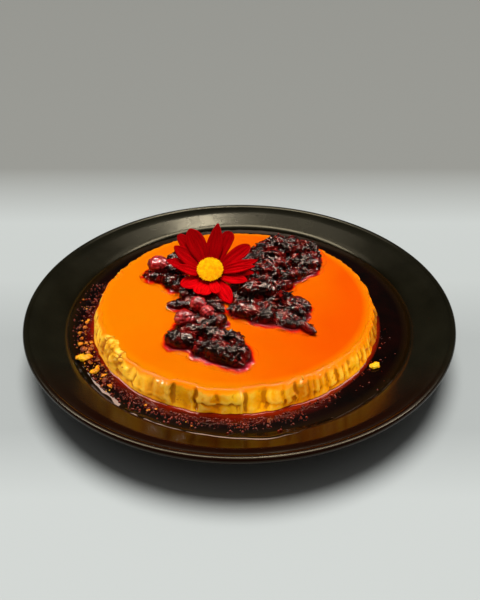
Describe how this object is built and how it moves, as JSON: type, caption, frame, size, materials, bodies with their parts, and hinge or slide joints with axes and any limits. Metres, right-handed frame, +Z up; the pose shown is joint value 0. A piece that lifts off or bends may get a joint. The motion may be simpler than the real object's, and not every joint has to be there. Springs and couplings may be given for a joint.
{
  "type": "creme caramel flan on a plate",
  "caption": "Round creme caramel flan on a deep wide-rimmed black plate, with a caramel pool round its foot, dark berry compote, whole red berries and a red daisy on top.",
  "frame": {"origin": "centre of the plate's foot ring, on the table", "axes": "+Z up out of the plate, -Y towards the viewer who has the daisy left of the middle and the largest heap of compote behind and to the right, +X to that viewer's right"},
  "size_m": [0.3, 0.3, 0.0673],
  "materials": {
    "stoneware": "satin black glaze",
    "custard": "soft moist baked custard, glossy where caramel has run over it",
    "caramel_layer": "orange caramel-stained top, wet and smooth",
    "caramel_syrup": "clear dark brown caramel syrup",
    "compote": "stewed dark berries in glossy syrup",
    "berry": "wet red berry skin",
    "petal": "velvety red petal",
    "flower_disc": "grainy yellow florets",
    "calyx": "plain green, hidden under the petals"
  },
  "bodies": {
    "root": {"plate": "stoneware", "custard": "custard", "caramel_layer": "caramel_layer", "caramel_pool": "caramel_syrup", "custard_crumb_right": "custard", "custard_crumb_left": "custard", "custard_crumb_low_left": "custard", "compote_left": "compote", "compote_front": "compote", "compote_right": "compote", "berry_left": "berry", "berry_front_left": "berry", "berry_front_upper": "berry", "berry_front_right": "berry", "petal_01": "petal", "petal_02": "petal", "petal_03": "petal", "petal_04": "petal", "petal_05": "petal", "petal_06": "petal", "petal_07": "petal", "petal_08": "petal", "petal_09": "petal", "petal_10": "petal", "petal_11": "petal", "petal_12": "petal", "petal_13": "petal", "petal_14": "petal", "petal_15": "petal", "petal_16": "petal", "flower_disc": "flower_disc", "flower_calyx": "calyx"}
  },
  "joints": []
}
